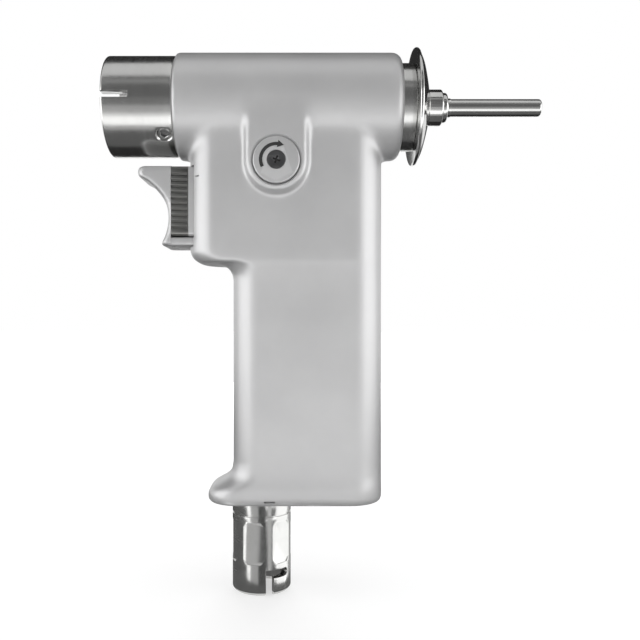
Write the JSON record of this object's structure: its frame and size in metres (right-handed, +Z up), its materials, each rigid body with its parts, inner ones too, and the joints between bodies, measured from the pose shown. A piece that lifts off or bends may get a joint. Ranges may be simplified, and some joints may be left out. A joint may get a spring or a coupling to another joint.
{
  "type": "surgical power drill",
  "caption": "Gas-powered surgical drill with a pistol grip, front coupling sleeve, sliding trigger, push-through direction button, rear guard with wire tube and bayonet hose socket.",
  "frame": {"origin": "centre of the front sleeve's mouth, on the spindle axis", "axes": "+X to the rear along the spindle, +Z up and away from the grip, Y across the tool; the side seen in the picture faces -Y"},
  "size_m": [0.1327, 0.0389, 0.1661],
  "materials": {
    "satin_body": "bead-blasted satin",
    "polished_steel": "polished",
    "dark_steel": "blackened",
    "hard_steel": "ground",
    "bronze": "machined",
    "seal_rubber": "smooth",
    "vane_plastic": "fabric-filled resin"
  },
  "bodies": {
    "housing": {"housing": "satin_body", "coupling_sleeve": "polished_steel", "sleeve_set_screws": "dark_steel", "spindle_seal": "seal_rubber", "spindle_outer_race": "hard_steel", "spindle_bush": "bronze", "ring_gear": "hard_steel", "motor_front_plate": "hard_steel", "motor_cylinder": "hard_steel", "motor_rear_plate": "hard_steel", "rotor_front_outer_race": "hard_steel", "rotor_rear_outer_race": "hard_steel", "rear_cap": "polished_steel", "rear_cap_seal": "seal_rubber", "guard_flange": "polished_steel", "guard_nut": "dark_steel", "guard_hub": "polished_steel", "guard_tube": "polished_steel", "trigger_spring": "hard_steel", "valve_spring": "hard_steel", "throttle_sleeve": "bronze", "spool_sleeve": "bronze", "hose_coupling": "polished_steel", "inlet_nipple": "hard_steel", "nipple_seal": "seal_rubber", "inlet_filter": "hard_steel", "supply_tube": "hard_steel", "exhaust_muffler": "bronze"},
    "spindle": {"output_spindle": "hard_steel", "planet_carrier": "hard_steel", "planet_pins": "hard_steel", "spindle_inner_race": "hard_steel"},
    "rotor": {"rotor": "hard_steel", "rotor_vanes": "vane_plastic", "rotor_shaft": "hard_steel", "sun_pinion": "hard_steel", "rotor_front_inner_race": "hard_steel", "rotor_rear_inner_race": "hard_steel"},
    "planet_1": {"planet_gear_1": "hard_steel"},
    "planet_2": {"planet_gear_2": "hard_steel"},
    "planet_3": {"planet_gear_3": "hard_steel"},
    "spindle_ball_set": {"spindle_balls": "hard_steel"},
    "front_ball_set": {"rotor_front_balls": "hard_steel"},
    "rear_ball_set": {"rotor_rear_balls": "hard_steel"},
    "trigger": {"trigger_finger": "satin_body", "trigger_slide": "dark_steel", "trigger_stem": "hard_steel", "stem_seal": "seal_rubber", "throttle_valve": "hard_steel"},
    "reversing_button": {"reversing_spool": "hard_steel", "spool_seals": "seal_rubber", "forward_button": "satin_body", "reverse_button": "satin_body", "button_screws": "dark_steel"}
  },
  "joints": [
    {"name": "rotor_spin", "type": "hinge", "parent": "housing", "child": "rotor", "pos_m": [0.061, 0, 0], "axis": [1, 0, 0], "continuous": true},
    {"name": "spindle_spin", "type": "hinge", "parent": "housing", "child": "spindle", "pos_m": [0.0188, 0, 0], "axis": [1, 0, 0], "continuous": true},
    {"name": "planet_1_spin", "type": "hinge", "parent": "spindle", "child": "planet_1", "pos_m": [0.0346, 0, 0.0072], "axis": [1, 0, 0], "continuous": true},
    {"name": "planet_2_spin", "type": "hinge", "parent": "spindle", "child": "planet_2", "pos_m": [0.0346, -0.00624, -0.0036], "axis": [1, 0, 0], "continuous": true},
    {"name": "planet_3_spin", "type": "hinge", "parent": "spindle", "child": "planet_3", "pos_m": [0.0346, 0.00624, -0.0036], "axis": [1, 0, 0], "continuous": true},
    {"name": "spindle_ball_spin", "type": "hinge", "parent": "housing", "child": "spindle_ball_set", "pos_m": [0.0188, 0, 0], "axis": [1, 0, 0], "continuous": true},
    {"name": "front_ball_spin", "type": "hinge", "parent": "housing", "child": "front_ball_set", "pos_m": [0.0442, 0, 0], "axis": [1, 0, 0], "continuous": true},
    {"name": "rear_ball_spin", "type": "hinge", "parent": "housing", "child": "rear_ball_set", "pos_m": [0.0772, 0, 0], "axis": [1, 0, 0], "continuous": true},
    {"name": "trigger_pull", "type": "slide", "parent": "housing", "child": "trigger", "axis": [1, 0, 0], "range_m": [0, 0.004], "stiffness_N_per_m": 700, "springref_m": -0.004, "deforming": ["trigger_spring", "valve_spring"]},
    {"name": "direction_button", "type": "slide", "parent": "housing", "child": "reversing_button", "axis": [0, -1, 0], "range_m": [0, 0.0045]}
  ],
  "couplings": [
    {"joint": "spindle_spin", "follows": "rotor_spin", "ratio": 0.25},
    {"joint": "planet_1_spin", "follows": "rotor_spin", "ratio": -0.75},
    {"joint": "planet_2_spin", "follows": "rotor_spin", "ratio": -0.75},
    {"joint": "planet_3_spin", "follows": "rotor_spin", "ratio": -0.75},
    {"joint": "spindle_ball_spin", "follows": "rotor_spin", "ratio": 0.10446},
    {"joint": "front_ball_spin", "follows": "rotor_spin", "ratio": 0.39474},
    {"joint": "rear_ball_spin", "follows": "rotor_spin", "ratio": 0.39474}
  ]
}
